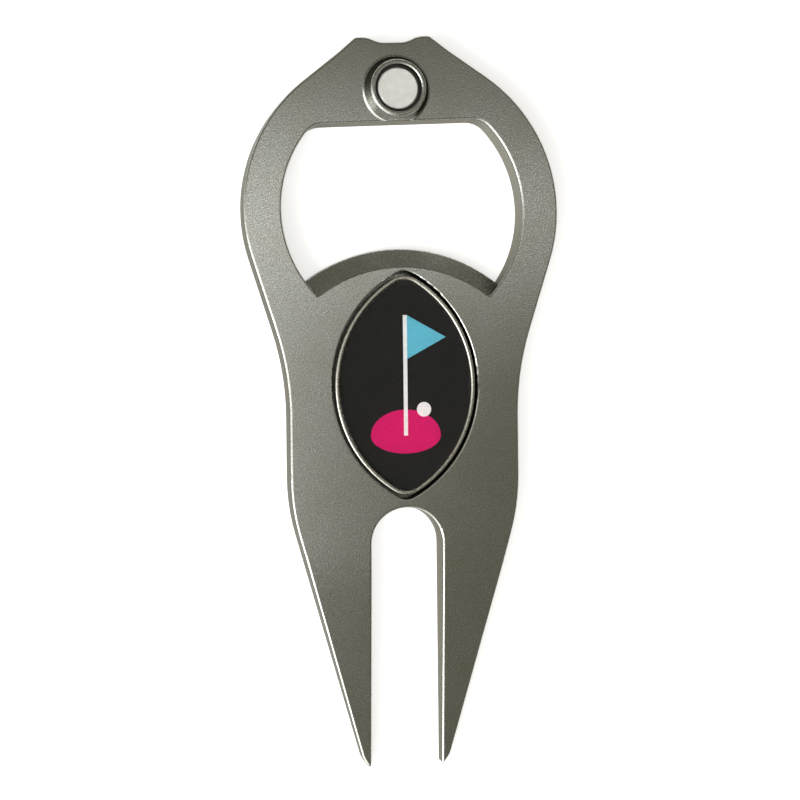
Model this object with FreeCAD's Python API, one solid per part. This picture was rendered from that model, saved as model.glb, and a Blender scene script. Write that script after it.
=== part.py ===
"""Divot repair tool: a flat zinc casting with a two-prong fork, a bottle opener loop with a
bevelled lip, a raised magnet boss that holds a bottle cap, and a pointed-oval ball marker that
a second magnet holds in a shallow pocket.

The tool lies on its back. +Z comes out of the front face, +Y runs towards the horns, and the
origin is in the plane of the back, under the middle of the outline. Every size is in mm.
"""

import FreeCAD, Part
import math
import os

Vector = FreeCAD.Vector
X_AXIS = Vector(1, 0, 0)
Z_AXIS = Vector(0, 0, 1)

# Plate
TOOL_LENGTH = 90.0
PLATE_THICK = 3.5
HORN_TOP_Y = 44.79
PRONG_END_Y = -TOOL_LENGTH / 2
FRONT_EDGE_R = 0.3
BACK_EDGE_R = 0.25

# Horns and the saddle notch between them
NOTCH_DEPTH = 0.7
NOTCH_FLOOR_X = 1.75
NOTCH_CREST_X = 3.15
NOTCH_R = 3.2
HORN_X = 4.65
HORN_R = 0.7
NECK_X = 6.9
NECK_Y = 43.0
NECK_R = 6.0

# Opener loop: its outer edge and its opening share one centre
LOOP_Y = 23.6
LOOP_OUTER_R = 19.75
OPENING_R = 15.13
BRIDGE_LOW_Y = 34.4
OPENING_CORNER_R = 3.0

# Head: the bridge, boss and horns stand a little askew, turned about the loop's centre. Their
# other sizes are given as if they stood straight, and the turn lifts one horn to the tool's end.
HEAD_TURN_DEG = 3.2

# Waist
WAIST_HALF = 14.38
WAIST_TOP_Y = 3.7
WAIST_TOP_R = 34.7
WAIST_LOW_Y = -12.75
WAIST_LOW_R = 25.7

# Fork
SLOT_HALF = 4.45
SLOT_TOP_Y = -13.0
TIP_R = 0.2
TIP_CORNER_X = 5.5
TIP_CORNER_Y = -44.1
TIP_CORNER_R = 3.0
TIP_THICK = 1.9
TAPER_START_Y = -20.0
TAPER_BLEND_R = 80.0

# Opener lip: a cone-shaped bevel between two arcs about one centre
LIP_CENTRE_Y = -0.95
LIP_CREASE_R = 17.5
LIP_EDGE_R = 19.85
LIP_THICK = 1.75
LIP_ROUND_R = 0.3

# Boss and magnet that hold a bottle cap
BOSS_Y = 38.25
BOSS_BASE_R = 4.1
BOSS_TOP_R = 3.4
BOSS_HEIGHT = 1.6
BOSS_FLARE_R = 0.3
BOSS_RIM_ROUND_R = 0.3
BOSS_MOUTH_ROUND_R = 0.2
CAP_MAGNET_R = 2.5
CAP_MAGNET_THICK = 3.0
CAP_MAGNET_BELOW_RIM = 0.35
CAP_MAGNET_CHAMFER = 0.15
CAP_BORE_R = 2.9
CAP_GLUE_BED = 0.1
CAP_GLUE_BELOW_FACE = 0.4

# Ball marker, a pointed oval of two side arcs and two rounded tips
MARKER_Y = 2.05
INSERT_HALF = 8.3
INSERT_SIDE_R = 14.8
INSERT_TIP_R = 2.5
RIM_WIDTH = 0.5
RIM_ROUND_R = 0.2
RIM_PROUD = 0.1
TRAY_FLOOR_THICK = 1.4
TRAY_BASE_ROUND_R = 0.3
INSERT_THICK = 0.2
INSERT_CLEARANCE = 0.02
DOME_EDGE_BELOW_RIM = 0.1
DOME_CROWN = 0.12
MARKER_SEAT_GAP = 0.05

# Marker pocket and its magnet
POCKET_CLEARANCE = 0.35
POCKET_TIP_R = 2.0
POCKET_DEPTH = 2.0
POCKET_EDGE_R = 0.2
MARKER_MAGNET_R = 5.0
MARKER_MAGNET_THICK = 0.8
MARKER_RECESS_R = 5.1
MARKER_GLUE_BED = 0.1

# How far cutting solids run past the faces they cut
OVERRUN = 2.0
# Tolerance of a position, and the least height part of a normal that counts as facing forward
NEAR = 1e-4
FRONT_FACING = 0.95


def tangent_direction(point, centre, radius, side):
    """Unit direction from a point to where its tangent touches a circle, on one side of it."""
    to_centre = centre - point
    lean = side * math.asin(radius / to_centre.Length)
    heading = math.atan2(to_centre.y, to_centre.x) + lean
    return Vector(math.cos(heading), math.sin(heading), 0)


def meeting_point(start, direction, other_start, other_direction):
    """Where two lines in the XY plane cross."""
    across = direction.cross(other_direction).z
    along = (other_start - start).cross(other_direction).z / across
    return start + direction * along


def corner_arc(before, corner, after, radius):
    """Start, middle and end of the arc that rounds a corner between two straight runs."""
    back = (before - corner).normalize()
    ahead = (after - corner).normalize()
    half_angle = back.getAngle(ahead) / 2
    reach = radius / math.tan(half_angle)
    inward = (back + ahead).normalize()
    middle = corner + inward * (radius / math.sin(half_angle) - radius)
    return corner + back * reach, middle, corner + ahead * reach


def rounded_wire(corners):
    """Closed wire through (point, radius) corners, each one rounded where its radius isn't 0."""
    count = len(corners)
    edges = []
    stretches = []
    for index, (corner, radius) in enumerate(corners):
        if radius == 0:
            stretches.append((corner, corner))
            continue
        before = corners[index - 1][0]
        after = corners[(index + 1) % count][0]
        start, middle, end = corner_arc(before, corner, after, radius)
        edges.append(Part.Arc(start, middle, end).toShape())
        stretches.append((start, end))
    for index, (_, end) in enumerate(stretches):
        start = stretches[(index + 1) % count][0]
        if end.distanceToPoint(start) > NEAR:
            edges.append(Part.makeLine(end, start))
    return Part.Wire(Part.__sortEdges__(edges))


def prism(wire, low_z, high_z):
    """Solid between two heights with the wire's outline."""
    face = Part.Face(wire)
    face.translate(Vector(0, 0, low_z))
    return face.extrude(Vector(0, 0, high_z - low_z))


def cylinder(radius, centre_y, low_z, high_z):
    """Upright cylinder on the centreline, between two heights."""
    return Part.makeCylinder(radius, high_z - low_z, Vector(0, centre_y, low_z), Z_AXIS)


def turned(profile, centre_y):
    """Solid of revolution about a vertical axis on the centreline, from (point, radius) corners
    whose points are (distance from the axis, height)."""
    upright = [(Vector(point.x, 0, point.y), radius) for point, radius in profile]
    solid = Part.Face(rounded_wire(upright)).revolve(Vector(0, 0, 0), Z_AXIS, 360)
    solid.translate(Vector(0, centre_y, 0))
    return solid


def middle_of(edge):
    """Point halfway along an edge's parameter range."""
    return edge.valueAt((edge.FirstParameter + edge.LastParameter) / 2)


def edges_where(shape, test):
    """Edges whose middle and both ends all pass the test."""
    chosen = []
    for edge in shape.Edges:
        spots = [vertex.Point for vertex in edge.Vertexes]
        spots.append(middle_of(edge))
        if all(test(spot) for spot in spots):
            chosen.append(edge)
    return chosen


def head_point(x, y):
    """Where a point of the head lies once the head is turned."""
    centre = Vector(0, LOOP_Y, 0)
    return centre + FreeCAD.Rotation(Z_AXIS, HEAD_TURN_DEG).multVec(Vector(x, y, 0) - centre)


def in_head(shape):
    """Turn a shape with the head."""
    shape.rotate(Vector(0, LOOP_Y, 0), Z_AXIS, HEAD_TURN_DEG)
    return shape


def outline_side(side):
    """Corners of the outline from the notch to the end of the slot: side 1 is the right, -1 the left."""
    neck = head_point(side * NECK_X, NECK_Y)
    waist_top = Vector(side * WAIST_HALF, WAIST_TOP_Y, 0)
    loop_centre = Vector(0, LOOP_Y, 0)
    shoulder = tangent_direction(neck, loop_centre, LOOP_OUTER_R, side)
    flank = tangent_direction(waist_top, loop_centre, LOOP_OUTER_R, -side)
    tip_corner = Vector(side * TIP_CORNER_X, TIP_CORNER_Y, 0)
    tip_centre = Vector(side * (SLOT_HALF + TIP_R), PRONG_END_Y + TIP_R, 0)
    tip_side = tangent_direction(tip_corner, tip_centre, TIP_R, side)
    tip = meeting_point(tip_corner, tip_side, Vector(side * SLOT_HALF, 0, 0), Vector(0, 1, 0))
    return [
        (head_point(side * NOTCH_FLOOR_X, HORN_TOP_Y - NOTCH_DEPTH), NOTCH_R),
        (head_point(side * NOTCH_CREST_X, HORN_TOP_Y), NOTCH_R),
        (head_point(side * HORN_X, HORN_TOP_Y), HORN_R),
        (neck, NECK_R),
        (meeting_point(neck, shoulder, waist_top, flank), LOOP_OUTER_R),
        (waist_top, WAIST_TOP_R),
        (Vector(side * WAIST_HALF, WAIST_LOW_Y, 0), WAIST_LOW_R),
        (tip_corner, TIP_CORNER_R),
        (tip, TIP_R),
        (Vector(side * SLOT_HALF, SLOT_TOP_Y, 0), SLOT_HALF),
    ]


def plate_outline():
    """Outline of the casting with the slot between the prongs, but without its openings."""
    return rounded_wire(outline_side(1) + outline_side(-1)[::-1])


def prong_taper():
    """Solid above the prongs that leaves them thinner towards their tips."""
    past_tip_y = PRONG_END_Y - OVERRUN
    fall = (PLATE_THICK - TIP_THICK) / (TAPER_START_Y - PRONG_END_Y)
    past_tip_z = PLATE_THICK - fall * (TAPER_START_Y - past_tip_y)
    top_z = PLATE_THICK + OVERRUN
    profile = [
        (Vector(0, 0, PLATE_THICK), 0),
        (Vector(0, TAPER_START_Y, PLATE_THICK), TAPER_BLEND_R),
        (Vector(0, past_tip_y, past_tip_z), 0),
        (Vector(0, past_tip_y, top_z), 0),
        (Vector(0, 0, top_z), 0),
    ]
    face = Part.Face(rounded_wire(profile))
    face.translate(X_AXIS * -WAIST_HALF * 2)
    return face.extrude(X_AXIS * WAIST_HALF * 4)


def only_solid(shape):
    """The one solid of a shape, with faces that lie in one surface joined."""
    return shape.removeSplitter().Solids[0]


def opening_through():
    """Opener opening that goes right through: a circle cut off by the bridge, less the lip."""
    low_z = -OVERRUN
    high_z = PLATE_THICK + OVERRUN
    span = OPENING_R * 2
    circle = cylinder(OPENING_R, LOOP_Y, low_z, high_z)
    below_bridge = Part.makeBox(
        span, span, high_z - low_z, Vector(-OPENING_R, BRIDGE_LOW_Y - span, low_z)
    )
    hole = circle.common(below_bridge)
    bridge_edges = edges_where(hole, lambda spot: abs(spot.y - BRIDGE_LOW_Y) < NEAR)
    corners = [edge for edge in bridge_edges if edge.BoundBox.ZLength > OVERRUN]
    hole = in_head(hole.makeFillet(OPENING_CORNER_R, corners))
    return hole.cut(cylinder(LIP_EDGE_R, LIP_CENTRE_Y, low_z, high_z))


def lip_bevel():
    """Solid above the bevelled lip, inside the opening's circle."""
    slope = (LIP_THICK - PLATE_THICK) / (LIP_EDGE_R - LIP_CREASE_R)
    past_edge_r = LIP_EDGE_R + OVERRUN
    past_edge_z = LIP_THICK + slope * OVERRUN
    top_z = PLATE_THICK + OVERRUN
    profile = [
        (Vector(LIP_CREASE_R, PLATE_THICK, 0), 0),
        (Vector(past_edge_r, past_edge_z, 0), 0),
        (Vector(past_edge_r, top_z, 0), 0),
        (Vector(LIP_CREASE_R, top_z, 0), 0),
    ]
    inside = cylinder(OPENING_R, LOOP_Y, 0, top_z)
    return turned(profile, LIP_CENTRE_Y).common(inside)


def pointed_oval(offset, tip_r):
    """Outline parallel to the insert's, further out by the offset, with its own tip radius."""
    side_r = INSERT_SIDE_R + offset
    arc_centre_x = INSERT_SIDE_R - INSERT_HALF
    tip_y = math.sqrt((side_r - tip_r) ** 2 - arc_centre_x**2)
    lean = math.atan2(tip_y, arc_centre_x)
    touch_x = -arc_centre_x + side_r * math.cos(lean)
    touch_y = side_r * math.sin(lean)
    widest = Vector(INSERT_HALF + offset, MARKER_Y, 0)
    upper = Vector(touch_x, MARKER_Y + touch_y, 0)
    lower = Vector(touch_x, MARKER_Y - touch_y, 0)
    top = Vector(0, MARKER_Y + tip_y + tip_r, 0)
    bottom = Vector(0, MARKER_Y - tip_y - tip_r, 0)

    def across(point):
        return Vector(-point.x, point.y, 0)

    arcs = [
        Part.Arc(lower, widest, upper),
        Part.Arc(upper, top, across(upper)),
        Part.Arc(across(upper), across(widest), across(lower)),
        Part.Arc(across(lower), bottom, lower),
    ]
    return Part.Wire([arc.toShape() for arc in arcs])


def pocket_outline():
    """Outline of the marker's pocket, clear of the marker all round."""
    return pointed_oval(RIM_WIDTH + POCKET_CLEARANCE, POCKET_TIP_R)


def marker_pocket():
    """Space cut for the marker, with the round recess for its magnet and adhesive below it."""
    floor_z = PLATE_THICK - POCKET_DEPTH
    recess_z = floor_z - MARKER_MAGNET_THICK - MARKER_GLUE_BED
    pocket = prism(pocket_outline(), floor_z, PLATE_THICK + OVERRUN)
    return pocket.fuse(cylinder(MARKER_RECESS_R, MARKER_Y, recess_z, PLATE_THICK))


def boss():
    """Cone-shaped boss that flares into the bridge and is cut off flush with its lower wall."""
    skirt_lean = math.atan2(BOSS_HEIGHT, BOSS_BASE_R - BOSS_TOP_R)
    flare = BOSS_FLARE_R * math.tan(skirt_lean / 2)
    root_z = PLATE_THICK - FRONT_EDGE_R * 2
    top_z = PLATE_THICK + BOSS_HEIGHT
    profile = [
        (Vector(0, root_z, 0), 0),
        (Vector(BOSS_BASE_R + flare, root_z, 0), 0),
        (Vector(BOSS_BASE_R + flare, PLATE_THICK, 0), 0),
        (Vector(BOSS_BASE_R, PLATE_THICK, 0), BOSS_FLARE_R),
        (Vector(BOSS_TOP_R, top_z, 0), BOSS_RIM_ROUND_R),
        (Vector(0, top_z, 0), 0),
    ]
    span = BOSS_BASE_R * 4
    above_wall = Part.makeBox(span, span, span, Vector(-span / 2, BRIDGE_LOW_Y, 0))
    return in_head(turned(profile, BOSS_Y).common(above_wall))


def cap_bore():
    """Blind bore for the cap magnet, with a rounded mouth."""
    top_z = PLATE_THICK + BOSS_HEIGHT
    floor_z = cap_magnet_face_z() - CAP_MAGNET_THICK - CAP_GLUE_BED
    mouth_r = CAP_BORE_R + BOSS_MOUTH_ROUND_R
    profile = [
        (Vector(0, floor_z, 0), 0),
        (Vector(CAP_BORE_R, floor_z, 0), 0),
        (Vector(CAP_BORE_R, top_z, 0), BOSS_MOUTH_ROUND_R),
        (Vector(mouth_r, top_z, 0), 0),
        (Vector(mouth_r, top_z + OVERRUN, 0), 0),
        (Vector(0, top_z + OVERRUN, 0), 0),
    ]
    return in_head(turned(profile, BOSS_Y))


def cap_magnet_face_z():
    """Height of the cap magnet's outer face."""
    return PLATE_THICK + BOSS_HEIGHT - CAP_MAGNET_BELOW_RIM


def facing(face):
    """Height part of a face's normal at its middle: 1 faces up, 0 stands upright."""
    low_u, high_u, low_v, high_v = face.ParameterRange
    return face.normalAt((low_u + high_u) / 2, (low_v + high_v) / 2).z


def front_rims(casting):
    """Edges where the front surface, taper included, meets an upright wall."""
    walls = [face for face in casting.Faces if abs(facing(face)) < NEAR]
    fronts = [face for face in casting.Faces if facing(face) > FRONT_FACING]

    def borders(edge, faces):
        return any(edge.isSame(own) for face in faces for own in face.Edges)

    raised = edges_where(casting, lambda spot: spot.z > TIP_THICK - NEAR)
    return [edge for edge in raised if borders(edge, walls) and borders(edge, fronts)]


def rounded_front(casting):
    """Round the front's rims and the crease above the lip, the pocket's rim less than the rest."""
    box = pocket_outline().BoundBox

    def on_pocket_rim(spot):
        across = abs(spot.x) < box.XMax + NEAR
        return across and box.YMin - NEAR < spot.y < box.YMax + NEAR

    def on_crease(spot):
        distance = math.hypot(spot.x, spot.y - LIP_CENTRE_Y)
        return abs(spot.z - PLATE_THICK) < NEAR and abs(distance - LIP_CREASE_R) < NEAR

    def rims(shape, in_pocket):
        return [edge for edge in front_rims(shape) if on_pocket_rim(middle_of(edge)) == in_pocket]

    outer = rims(casting, False) + edges_where(casting, on_crease)
    casting = casting.makeFillet(FRONT_EDGE_R, outer)
    return casting.makeFillet(POCKET_EDGE_R, rims(casting, True))


def rounded_back(casting):
    """Round every edge of the back, then the upper edge of the lip."""
    casting = casting.makeFillet(BACK_EDGE_R, edges_where(casting, lambda spot: abs(spot.z) < NEAR))

    def on_lip(spot):
        distance = math.hypot(spot.x, spot.y - LIP_CENTRE_Y)
        return abs(spot.z - LIP_THICK) < NEAR and abs(distance - LIP_EDGE_R) < NEAR

    return casting.makeFillet(LIP_ROUND_R, edges_where(casting, on_lip))


def body():
    """The zinc casting."""
    casting = prism(plate_outline(), 0, PLATE_THICK).cut(prong_taper())
    casting = casting.cut(marker_pocket())
    casting = casting.cut(opening_through())
    casting = casting.cut(lip_bevel())
    casting = casting.fuse(boss())
    casting = only_solid(casting.cut(cap_bore()))
    return rounded_back(rounded_front(casting)).Solids[0]


def cap_magnet():
    """Disc magnet in the boss."""
    face_z = cap_magnet_face_z()
    disc = cylinder(CAP_MAGNET_R, BOSS_Y, face_z - CAP_MAGNET_THICK, face_z)
    return in_head(disc.makeChamfer(CAP_MAGNET_CHAMFER, disc.Edges))


def cap_magnet_glue():
    """Adhesive under and round the cap magnet, a little below its face."""
    face_z = cap_magnet_face_z()
    magnet_z = face_z - CAP_MAGNET_THICK
    fill = cylinder(CAP_BORE_R, BOSS_Y, magnet_z - CAP_GLUE_BED, face_z - CAP_GLUE_BELOW_FACE)
    return in_head(fill).cut(cap_magnet())


def marker_magnet():
    """Disc magnet under the marker, flush with the pocket's floor."""
    floor_z = PLATE_THICK - POCKET_DEPTH
    return cylinder(MARKER_MAGNET_R, MARKER_Y, floor_z - MARKER_MAGNET_THICK, floor_z)


def marker_magnet_glue():
    """Adhesive bed between the marker's magnet and the casting."""
    magnet_z = PLATE_THICK - POCKET_DEPTH - MARKER_MAGNET_THICK
    return cylinder(MARKER_MAGNET_R, MARKER_Y, magnet_z - MARKER_GLUE_BED, magnet_z)


def tray_floor_z():
    """Height of the tray's inner floor, where the insert lies."""
    return PLATE_THICK - POCKET_DEPTH + MARKER_SEAT_GAP + TRAY_FLOOR_THICK


def marker_tray():
    """Steel marker blank: a flat base with a low rounded rim round the printed insert."""
    base_z = PLATE_THICK - POCKET_DEPTH + MARKER_SEAT_GAP
    rim_z = PLATE_THICK + RIM_PROUD
    blank = prism(pointed_oval(RIM_WIDTH, INSERT_TIP_R + RIM_WIDTH), base_z, rim_z)
    blank = blank.makeFillet(TRAY_BASE_ROUND_R, edges_where(blank, lambda spot: spot.z < base_z + NEAR))
    tray = blank.cut(prism(pointed_oval(0, INSERT_TIP_R), tray_floor_z(), rim_z + OVERRUN))
    return tray.makeFillet(RIM_ROUND_R, edges_where(tray, lambda spot: spot.z > rim_z - NEAR))


def insert_outline():
    """Outline of the insert and of the resin over it, just clear of the tray's rim."""
    return pointed_oval(-INSERT_CLEARANCE, INSERT_TIP_R - INSERT_CLEARANCE)


def marker_insert():
    """Thin printed plate in the tray."""
    return prism(insert_outline(), tray_floor_z(), tray_floor_z() + INSERT_THICK)


def marker_dome():
    """Clear resin poured over the insert up to the rim, crowned in the middle."""
    base_z = tray_floor_z() + INSERT_THICK
    edge_z = PLATE_THICK + RIM_PROUD - DOME_EDGE_BELOW_RIM
    crown_r = (INSERT_HALF**2 + DOME_CROWN**2) / (2 * DOME_CROWN)
    block = prism(insert_outline(), base_z, edge_z + OVERRUN)
    crown = Part.makeCylinder(
        crown_r,
        TOOL_LENGTH,
        Vector(0, PRONG_END_Y, edge_z + DOME_CROWN - crown_r),
        Vector(0, 1, 0),
    )
    return block.common(crown)


NODES = {
    "body": body,
    "cap_magnet": cap_magnet,
    "cap_magnet_glue": cap_magnet_glue,
    "marker_magnet": marker_magnet,
    "marker_magnet_glue": marker_magnet_glue,
    "marker_tray": marker_tray,
    "marker_insert": marker_insert,
    "marker_dome": marker_dome,
}


def main():
    """Write each node's solid to parts/."""
    os.makedirs("parts", exist_ok=True)
    for node, make in NODES.items():
        make().exportStep(f"parts/{node}.step")


if __name__ == "__main__":
    main()
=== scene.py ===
"""Looks for the divot repair tool: satin nickel casting, magnets, ball marker with a printed insert
under clear resin, pale floor, soft light and the camera. Lengths are in metres unless a name says
otherwise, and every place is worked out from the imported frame."""

import bmesh
import bpy
import math
from mathutils import Matrix, Vector


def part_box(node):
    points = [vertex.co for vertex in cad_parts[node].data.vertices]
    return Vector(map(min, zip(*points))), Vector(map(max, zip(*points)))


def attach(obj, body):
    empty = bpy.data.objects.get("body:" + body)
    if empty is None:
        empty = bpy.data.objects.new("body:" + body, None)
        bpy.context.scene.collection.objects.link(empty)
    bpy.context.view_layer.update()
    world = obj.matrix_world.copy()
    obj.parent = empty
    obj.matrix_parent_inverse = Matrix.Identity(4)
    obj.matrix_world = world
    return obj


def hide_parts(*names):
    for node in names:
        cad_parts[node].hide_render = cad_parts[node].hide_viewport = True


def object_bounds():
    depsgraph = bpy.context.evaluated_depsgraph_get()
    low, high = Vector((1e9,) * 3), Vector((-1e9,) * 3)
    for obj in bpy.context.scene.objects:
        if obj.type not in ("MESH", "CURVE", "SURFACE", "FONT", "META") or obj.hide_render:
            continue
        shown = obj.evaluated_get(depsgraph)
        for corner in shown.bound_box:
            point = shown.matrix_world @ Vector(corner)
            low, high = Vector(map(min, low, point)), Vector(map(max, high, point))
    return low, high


MM = 0.001
NEAR = 0.005 * MM

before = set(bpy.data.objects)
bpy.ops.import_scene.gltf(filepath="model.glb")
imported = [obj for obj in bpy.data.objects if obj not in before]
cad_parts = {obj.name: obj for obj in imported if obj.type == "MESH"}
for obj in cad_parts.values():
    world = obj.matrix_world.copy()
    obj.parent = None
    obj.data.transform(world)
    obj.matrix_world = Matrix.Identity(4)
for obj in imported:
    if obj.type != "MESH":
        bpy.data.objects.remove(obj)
cad_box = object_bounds()

# Camera: it stands to the left of the tool, high above it, and leans towards it
CAMERA_PLACE = Vector((-44.7, 1.7, 200.0)) * MM
CAMERA_TILT_RAD = 0.22
CAMERA_PITCH_RAD = 0.0075
CAMERA_ROLL_RAD = 0.0126
CAMERA_LENS_MM = 73.9
SENSOR_MM = 36.0
CLIP_NEAR = 0.01
CLIP_FAR = 10.0

# Printed motif on the insert: a flag on a mound, with a ball beside the pole
PRINT_THICK = 0.015 * MM
POLE_HALF_WIDTH = 0.25 * MM
POLE_TOP = 8.6 * MM
PENNANT_LENGTH = 4.9 * MM
PENNANT_HEIGHT = 5.4 * MM
MOUND_HALF_WIDTH = 4.4 * MM
MOUND_TOP = -3.0 * MM
MOUND_WAIST = -6.2 * MM
MOUND_BOTTOM = -8.4 * MM
BALL_R = 0.9 * MM
BALL_X = 2.3 * MM
ARC_STEPS = 48

# Resin over the print: its edge is a little below the marker's rim, and its back is just in the ink
DOME_EDGE_BELOW_RIM = 0.1 * MM
DOME_SINK = 0.01 * MM
DOME_RINGS = 16

FLOOR_BELOW = 0.02 * MM
FLOOR_HALF = 10.0

# Band that noise values mostly lie in
NOISE_LOW = 0.3
NOISE_HIGH = 0.7

# Rays that the edge and recess shares are measured with
EDGE_SAMPLES = 6
RECESS_SAMPLES = 8

# Casting: two tones of its grain, a warm stain, bare metal on edges, bright specks, painted shade on
# walls, a painted dark line on the steep part of rounded edges, and patina with painted shade in recesses
GRAIN_DARK = (0.38, 0.384, 0.361, 1)
GRAIN_LIGHT = (0.61, 0.617, 0.583, 1)
STAIN = (0.42, 0.40, 0.32, 1)
WORN_METAL = (0.72, 0.71, 0.67, 1)
SPECK_METAL = (0.95, 0.94, 0.90, 1)
WALL_PAINTED_SHADE = (0.34, 0.33, 0.30, 1)
STEEP_EDGE_PAINTED_SHADE = (0.03, 0.03, 0.025, 1)
RECESS_PATINA_AND_SHADE = (0.012, 0.011, 0.009, 1)

# Tints of the casting's shine at a glancing angle: in the open, darkened on walls as painted shade, and
# darkened on steep edge parts as painted shade and in recesses as patina with painted shade
OPEN_GLANCE = (0.9, 0.9, 0.87, 1)
WALL_SHADED_GLANCE = (0.26, 0.255, 0.23, 1)
SHADE_AND_PATINA_GLANCE = (0.05, 0.048, 0.042, 1)

# Surroundings: level with the tool, overhead, and a pale glow low on the left
WORLD_LEVEL = (0.17, 0.162, 0.13, 1)
WORLD_OVERHEAD = (0.113, 0.104, 0.068, 1)
WORLD_GLOW = (2.2, 2.2, 2.1, 1)
GLOW_TOWARDS = Vector((-0.70, -0.60, 0.38)).normalized()


def node(tree, kind, **settings):
    """New shader node with its settings."""
    made = tree.nodes.new("ShaderNode" + kind)
    for name, value in settings.items():
        setattr(made, name, value)
    return made


def feed(tree, value, socket):
    """Link an output to a socket, or set the socket where the value is a plain one."""
    if isinstance(value, bpy.types.NodeSocket):
        tree.links.new(value, socket)
    else:
        socket.default_value = value


def math_node(tree, operation, first, second):
    """Result of a sum between two values."""
    made = node(tree, "Math", operation=operation)
    feed(tree, first, made.inputs[0])
    feed(tree, second, made.inputs[1])
    return made.outputs[0]


def ramp(tree, value, low, high, out_low=0.0, out_high=1.0):
    """Value mapped from low..high to out_low..out_high, smoothly and clamped."""
    made = node(tree, "MapRange", interpolation_type="SMOOTHSTEP")
    feed(tree, value, made.inputs["Value"])
    made.inputs["From Min"].default_value = low
    made.inputs["From Max"].default_value = high
    made.inputs["To Min"].default_value = out_low
    made.inputs["To Max"].default_value = out_high
    return made.outputs["Result"]


def spread(tree, value, out_low=0.0, out_high=1.0):
    """Noise value spread over out_low..out_high."""
    return ramp(tree, value, NOISE_LOW, NOISE_HIGH, out_low, out_high)


def part_of(tree, share, most):
    """Share scaled down to at most that much."""
    return math_node(tree, "MULTIPLY", share, most)


def mixed(tree, share, first, second):
    """Colour between two colours by a share."""
    made = node(tree, "Mix", data_type="RGBA")
    feed(tree, share, made.inputs["Factor"])
    feed(tree, first, made.inputs["A"])
    feed(tree, second, made.inputs["B"])
    return made.outputs["Result"]


def noise(tree, size, detail=2.0, roughness=0.5):
    """Noise whose features are about that size, fixed to the object."""
    made = node(tree, "TexNoise")
    tree.links.new(node(tree, "TexCoord").outputs["Object"], made.inputs["Vector"])
    made.inputs["Scale"].default_value = 1.0 / size
    made.inputs["Detail"].default_value = detail
    made.inputs["Roughness"].default_value = roughness
    return made.outputs["Fac"]


def bumped(tree, height, distance, strength):
    """Normal disturbed by a height."""
    made = node(tree, "Bump")
    made.inputs["Strength"].default_value = strength
    made.inputs["Distance"].default_value = distance
    tree.links.new(height, made.inputs["Height"])
    return made.outputs["Normal"]


def dot_product(tree, first, second):
    """Dot product of two vectors."""
    made = node(tree, "VectorMath", operation="DOT_PRODUCT")
    feed(tree, first, made.inputs[0])
    feed(tree, second, made.inputs[1])
    return made.outputs["Value"]


def edge_share(tree, radius, low, high):
    """0 on flat surface, rising to 1 on edges, from how far a rounded normal leaves the true one."""
    soft = node(tree, "Bevel", samples=EDGE_SAMPLES)
    soft.inputs["Radius"].default_value = radius
    true = node(tree, "NewGeometry").outputs["Normal"]
    leaving = math_node(tree, "SUBTRACT", 1.0, dot_product(tree, soft.outputs["Normal"], true))
    return ramp(tree, leaving, low, high)


def recess_share(tree, distance, low, high):
    """0 in the open, rising to 1 in corners and recesses."""
    shade = node(tree, "AmbientOcclusion", samples=RECESS_SAMPLES)
    shade.inputs["Distance"].default_value = distance
    return ramp(tree, math_node(tree, "SUBTRACT", 1.0, shade.outputs["AO"]), low, high)


def slope_shares(tree):
    """Share of an upright wall, and share of the steep part of a rounded edge, just above a wall."""
    true = node(tree, "NewGeometry").outputs["Normal"]
    upward = math_node(tree, "ABSOLUTE", dot_product(tree, true, (0, 0, 1)), 0.0)
    wall = ramp(tree, upward, 0.1, 0.5, 1.0, 0.0)
    off_wall = ramp(tree, upward, 0.05, 0.2)
    steep = ramp(tree, upward, 0.37, 0.5, 1.0, 0.0)
    return wall, math_node(tree, "MULTIPLY", off_wall, steep)


def new_material(name):
    """Material with a Principled shader, and its tree and shader."""
    material = bpy.data.materials.new(name)
    material.use_nodes = True
    tree = material.node_tree
    return material, tree, tree.nodes["Principled BSDF"]


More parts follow.
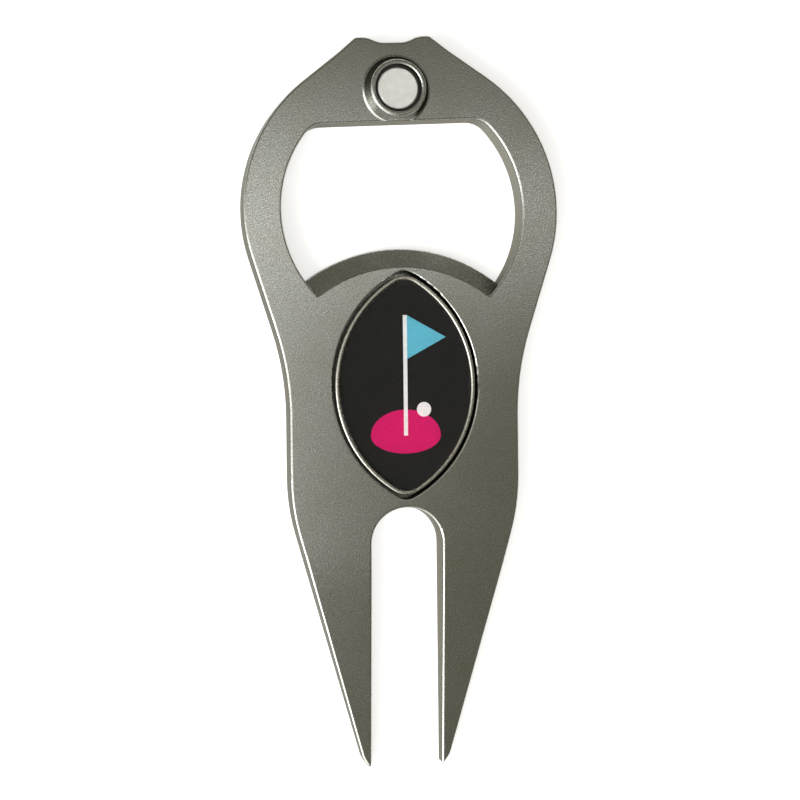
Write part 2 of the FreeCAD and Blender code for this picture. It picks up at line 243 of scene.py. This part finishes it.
def casting_metal():
    """Blasted zinc under satin antique nickel: fine grain, painted shade on walls and on the steep part of
    edges, patina with painted shade in recesses.
    """
    material, tree, shader = new_material("satin_antique_nickel")
    grain = noise(tree, 0.16 * MM, detail=1.0, roughness=0.6)
    cloud = noise(tree, 7.0 * MM, detail=3.0)
    tone = mixed(tree, spread(tree, grain), GRAIN_DARK, GRAIN_LIGHT)
    tone = mixed(tree, ramp(tree, cloud, 0.4, 0.7, 0.0, 0.35), tone, STAIN)
    worn = edge_share(tree, 0.2 * MM, 0.03, 0.25)
    tone = mixed(tree, part_of(tree, worn, 0.4), tone, WORN_METAL)
    speck = ramp(tree, noise(tree, 0.16 * MM, detail=0.0), 0.80, 0.84)
    tone = mixed(tree, speck, tone, SPECK_METAL)
    wall, steep = slope_shares(tree)
    # Painted shade: upright walls are darkened in the base colour
    tone = mixed(tree, part_of(tree, wall, 0.8), tone, WALL_PAINTED_SHADE)
    # Painted shade: a dark line on the steep part of rounded edges, in place of their dark reflection
    tone = mixed(tree, part_of(tree, steep, 0.8), tone, STEEP_EDGE_PAINTED_SHADE)
    # Recess darkening: partly the finish's patina, partly painted shade where ambient shade falls
    recess_shade = recess_share(tree, 0.8 * MM, 0.35, 0.9)
    tone = mixed(tree, part_of(tree, recess_shade, 0.9), tone, RECESS_PATINA_AND_SHADE)
    feed(tree, tone, shader.inputs["Base Color"])
    # Painted shade: the glancing shine is darkened on walls
    glancing = mixed(tree, wall, OPEN_GLANCE, WALL_SHADED_GLANCE)
    # Painted shade on steep edge parts and patina with painted shade in recesses: the glancing shine is
    # darkened there
    glancing = mixed(tree, math_node(tree, "MAXIMUM", steep, recess_shade), glancing, SHADE_AND_PATINA_GLANCE)
    feed(tree, glancing, shader.inputs["Specular Tint"])
    shader.inputs["Metallic"].default_value = 1.0
    feed(tree, spread(tree, grain, 0.32, 0.26), shader.inputs["Roughness"])
    feed(tree, bumped(tree, grain, 0.03 * MM, 0.3), shader.inputs["Normal"])
    return material


def magnet_plate():
    """Frosted nickel plate on a magnet, with faint handling marks."""
    material, tree, shader = new_material("frosted_nickel_plate")
    cloud = noise(tree, 0.9 * MM, detail=4.0)
    tone = mixed(tree, spread(tree, cloud), (0.90, 0.90, 0.87, 1), (0.97, 0.97, 0.95, 1))
    feed(tree, tone, shader.inputs["Base Color"])
    shader.inputs["Metallic"].default_value = 0.45
    feed(tree, spread(tree, cloud, 0.36, 0.46), shader.inputs["Roughness"])
    feed(tree, bumped(tree, noise(tree, 0.25 * MM), 0.02 * MM, 0.3), shader.inputs["Normal"])
    return material


def dark_epoxy():
    """Cured adhesive: nearly black, uneven."""
    material, tree, shader = new_material("dark_epoxy")
    lumps = noise(tree, 0.5 * MM, detail=3.0)
    tone = mixed(tree, spread(tree, lumps), (0.008, 0.008, 0.006, 1), (0.020, 0.019, 0.015, 1))
    feed(tree, tone, shader.inputs["Base Color"])
    feed(tree, spread(tree, lumps, 0.45, 0.7), shader.inputs["Roughness"])
    feed(tree, bumped(tree, lumps, 0.05 * MM, 0.5), shader.inputs["Normal"])
    return material


def marker_metal():
    """Stamped steel blank, nickel plated, with painted shade in its recesses."""
    material, tree, shader = new_material("marker_nickel")
    grain = noise(tree, 0.3 * MM, detail=3.0)
    tone = mixed(tree, spread(tree, grain), (0.50, 0.48, 0.43, 1), (0.66, 0.64, 0.58, 1))
    # Painted shade: the marker's recesses are darkened in the base colour
    recess_shade = part_of(tree, recess_share(tree, 0.6 * MM, 0.4, 0.95), 0.8)
    tone = mixed(tree, recess_shade, tone, (0.04, 0.038, 0.032, 1))
    feed(tree, tone, shader.inputs["Base Color"])
    shader.inputs["Metallic"].default_value = 1.0
    feed(tree, spread(tree, grain, 0.26, 0.38), shader.inputs["Roughness"])
    feed(tree, bumped(tree, grain, 0.01 * MM, 0.4), shader.inputs["Normal"])
    return material


def ink(name, dark, light):
    """Satin print ink between two close tones."""
    material, tree, shader = new_material(name)
    fleck = noise(tree, 0.25 * MM)
    feed(tree, mixed(tree, spread(tree, fleck), dark, light), shader.inputs["Base Color"])
    feed(tree, spread(tree, fleck, 0.45, 0.55), shader.inputs["Roughness"])
    shader.inputs["Specular IOR Level"].default_value = 0.1
    return material


def clear_resin():
    """Poured clear resin, its surface faintly uneven."""
    material, tree, shader = new_material("clear_resin")
    wave = noise(tree, 4.0 * MM, detail=0.0)
    shader.inputs["Base Color"].default_value = (0.98, 0.98, 0.97, 1)
    shader.inputs["Transmission Weight"].default_value = 1.0
    shader.inputs["IOR"].default_value = 1.5
    feed(tree, spread(tree, wave, 0.03, 0.07), shader.inputs["Roughness"])
    return material


def floor_paint():
    """Matt white light table with a faint unevenness."""
    material, tree, shader = new_material("light_table")
    cloud = noise(tree, 90 * MM)
    tone = mixed(tree, cloud, (0.88, 0.88, 0.88, 1), (0.91, 0.91, 0.91, 1))
    feed(tree, tone, shader.inputs["Base Color"])
    feed(tree, tone, shader.inputs["Emission Color"])
    shader.inputs["Emission Strength"].default_value = 0.7
    shader.inputs["Roughness"].default_value = 0.9
    shader.inputs["Specular IOR Level"].default_value = 0.0
    return material


def put_on(name, material):
    """Give a CAD node a material in place of its packed one."""
    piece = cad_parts[name]
    piece.data.materials.clear()
    piece.data.materials.append(material)


def linked(name, shape, material):
    """Object in the scene from a bmesh, with its material."""
    mesh = bpy.data.meshes.new(name)
    shape.to_mesh(mesh)
    shape.free()
    mesh.materials.append(material)
    made = bpy.data.objects.new(name, mesh)
    bpy.context.scene.collection.objects.link(made)
    return made


def print_layer(name, outline, low_z, material):
    """Thin flat layer of ink with an outline of (x, y) points."""
    shape = bmesh.new()
    face = shape.faces.new([shape.verts.new((x, y, low_z)) for x, y in outline])
    raised = bmesh.ops.extrude_face_region(shape, geom=[face])["geom"]
    moved = [part for part in raised if isinstance(part, bmesh.types.BMVert)]
    bmesh.ops.translate(shape, verts=moved, vec=(0, 0, PRINT_THICK))
    bmesh.ops.recalc_face_normals(shape, faces=shape.faces)
    piece = linked(name, shape, material)
    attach(piece, "marker")


def ellipse_points(centre_x, centre_y, radius_x, radius_y, start, end):
    """Points along part of an ellipse, both ends included, angles in radians."""
    points = []
    for step in range(ARC_STEPS + 1):
        angle = start + (end - start) * step / ARC_STEPS
        points.append((centre_x + radius_x * math.cos(angle), centre_y + radius_y * math.sin(angle)))
    return points


def add_print():
    """Flag, pole, mound and ball on the insert."""
    low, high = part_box("marker_insert")
    x = (low.x + high.x) / 2
    y = (low.y + high.y) / 2
    first_z = high.z
    second_z = first_z + PRINT_THICK
    white = ink("white_ink", (0.80, 0.80, 0.80, 1), (0.90, 0.90, 0.90, 1))
    blue = ink("blue_ink", (0.115, 0.44, 0.58, 1), (0.13, 0.48, 0.62, 1))
    red = ink("magenta_ink", (0.58, 0.007, 0.125, 1), (0.64, 0.010, 0.14, 1))

    waist_y = y + MOUND_WAIST
    upper = ellipse_points(x, waist_y, MOUND_HALF_WIDTH, MOUND_TOP - MOUND_WAIST, 0, math.pi)
    lower = ellipse_points(x, waist_y, MOUND_HALF_WIDTH, MOUND_WAIST - MOUND_BOTTOM, math.pi, 2 * math.pi)
    print_layer("print_mound", upper + lower[1:-1], first_z, red)

    left_x = x - POLE_HALF_WIDTH
    right_x = x + POLE_HALF_WIDTH
    pole_top_y = y + POLE_TOP
    pennant = [
        (right_x, pole_top_y - PENNANT_HEIGHT),
        (right_x + PENNANT_LENGTH, pole_top_y - PENNANT_HEIGHT / 2),
        (right_x, pole_top_y),
    ]
    print_layer("print_pennant", pennant, first_z, blue)
    pole = [(left_x, waist_y), (right_x, waist_y), (right_x, pole_top_y), (left_x, pole_top_y)]
    print_layer("print_pole", pole, second_z, white)
    ball = ellipse_points(x + BALL_X, y + MOUND_TOP, BALL_R, BALL_R, 0, 2 * math.pi)[:-1]
    print_layer("print_ball", ball, second_z, white)


def dome_outline(middle, low_z):
    """Outline of the CAD dome's lower face as (x, y) points, in order round its middle."""
    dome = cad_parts["marker_dome"]
    places = [dome.matrix_world @ vertex.co for vertex in dome.data.vertices]
    rim = {(round(place.x, 6), round(place.y, 6)) for place in places if place.z - low_z < NEAR}
    return sorted(rim, key=lambda spot: math.atan2(spot[1] - middle.y, spot[0] - middle.x))


def add_dome():
    """Resin over the print, poured nearly level with the rim and pillowed by surface tension."""
    low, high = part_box("marker_dome")
    middle = (low + high) / 2
    outline = dome_outline(middle, low.z)
    edge_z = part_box("marker_tray")[1].z - DOME_EDGE_BELOW_RIM
    crown = high.z - edge_z
    shape = bmesh.new()
    rings = []

    def add_ring(share, z):
        spots = [(middle.x + (x - middle.x) * share, middle.y + (y - middle.y) * share) for x, y in outline]
        rings.append([shape.verts.new((x, y, z)) for x, y in spots])

    add_ring(1.0, low.z - DOME_SINK)
    for step in range(DOME_RINGS):
        share = math.cos(math.pi / 2 * step / DOME_RINGS)
        add_ring(share, edge_z + crown * (1 - share**2))
    top = shape.verts.new((middle.x, middle.y, high.z))
    shape.faces.new(reversed(rings[0]))
    for index in range(len(outline)):
        after = (index + 1) % len(outline)
        for outer, inner in zip(rings, rings[1:]):
            face = shape.faces.new((outer[index], outer[after], inner[after], inner[index]))
            face.smooth = outer is not rings[0]
        shape.faces.new((rings[-1][index], rings[-1][after], top)).smooth = True
    bmesh.ops.recalc_face_normals(shape, faces=shape.faces)
    piece = linked("resin_dome", shape, clear_resin())
    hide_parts("marker_dome")
    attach(piece, "marker")
    piece.visible_shadow = False


def add_camera():
    """Camera at the main view."""
    data = bpy.data.cameras.new("camera")
    data.sensor_width = SENSOR_MM
    data.lens = CAMERA_LENS_MM
    data.clip_start = CLIP_NEAR
    data.clip_end = CLIP_FAR
    camera = bpy.data.objects.new("camera", data)
    bpy.context.scene.collection.objects.link(camera)
    turn = Matrix.Rotation(CAMERA_ROLL_RAD, 3, "Z")
    turn = turn @ Matrix.Rotation(CAMERA_TILT_RAD, 3, "Y")
    turn = turn @ Matrix.Rotation(CAMERA_PITCH_RAD, 3, "X")
    camera.matrix_world = Matrix.Translation(CAMERA_PLACE) @ turn.transposed().to_4x4()
    bpy.context.scene.camera = camera


def add_floor():
    """Pale floor just under the tool's back."""
    shape = bmesh.new()
    bmesh.ops.create_grid(shape, x_segments=1, y_segments=1, size=FLOOR_HALF)
    bmesh.ops.translate(shape, verts=shape.verts, vec=(0, 0, cad_box[0].z - FLOOR_BELOW))
    linked("floor", shape, floor_paint())


def add_soft_light(name, place_mm, aim_mm, width_mm, height_mm, radiance):
    """Rectangular soft light aimed at a point, as bright as radiance says whatever its size."""
    data = bpy.data.lights.new(name, "AREA")
    data.shape = "RECTANGLE"
    data.size = width_mm * MM
    data.size_y = height_mm * MM
    data.energy = radiance * math.pi * data.size * data.size_y
    light = bpy.data.objects.new(name, data)
    bpy.context.scene.collection.objects.link(light)
    place = Vector(place_mm) * MM
    towards = Vector(aim_mm) * MM - place
    light.matrix_world = Matrix.Translation(place) @ towards.to_track_quat("-Z", "Y").to_matrix().to_4x4()
    light.visible_camera = False


def add_world():
    """Dim warm surroundings, darker overhead, with a pale glow low on the left."""
    world = bpy.data.worlds.new("studio")
    bpy.context.scene.world = world
    world.use_nodes = True
    tree = world.node_tree
    direction = node(tree, "TexCoord").outputs["Generated"]
    overhead = ramp(tree, dot_product(tree, direction, (0, 0, 1)), 0.72, 0.88)
    colour = mixed(tree, overhead, WORLD_LEVEL, WORLD_OVERHEAD)
    glow = ramp(tree, dot_product(tree, direction, GLOW_TOWARDS), 0.55, 0.97)
    colour = mixed(tree, glow, colour, WORLD_GLOW)
    feed(tree, colour, tree.nodes["Background"].inputs["Color"])


metal = casting_metal()
plate = magnet_plate()
epoxy = dark_epoxy()
put_on("body", metal)
put_on("cap_magnet", plate)
put_on("marker_magnet", plate)
put_on("cap_magnet_glue", epoxy)
put_on("marker_magnet_glue", epoxy)
put_on("marker_tray", marker_metal())
put_on("marker_insert", ink("black_ink", (0.009, 0.009, 0.009, 1), (0.013, 0.013, 0.013, 1)))
add_print()
add_dome()
add_camera()
add_floor()
add_world()
add_soft_light(
    "strip", place_mm=(31, 40, 150), aim_mm=(31, 40, 0), width_mm=120, height_mm=15, radiance=1.6
)
add_soft_light(
    "overhead", place_mm=(-60, -7, 300), aim_mm=(-60, -7, 0), width_mm=150, height_mm=150, radiance=1.42
)
add_soft_light(
    "key", place_mm=(-560, -280, 480), aim_mm=(0, 0, 0), width_mm=340, height_mm=340, radiance=8.8
)
bpy.context.scene.view_settings.view_transform = "Standard"
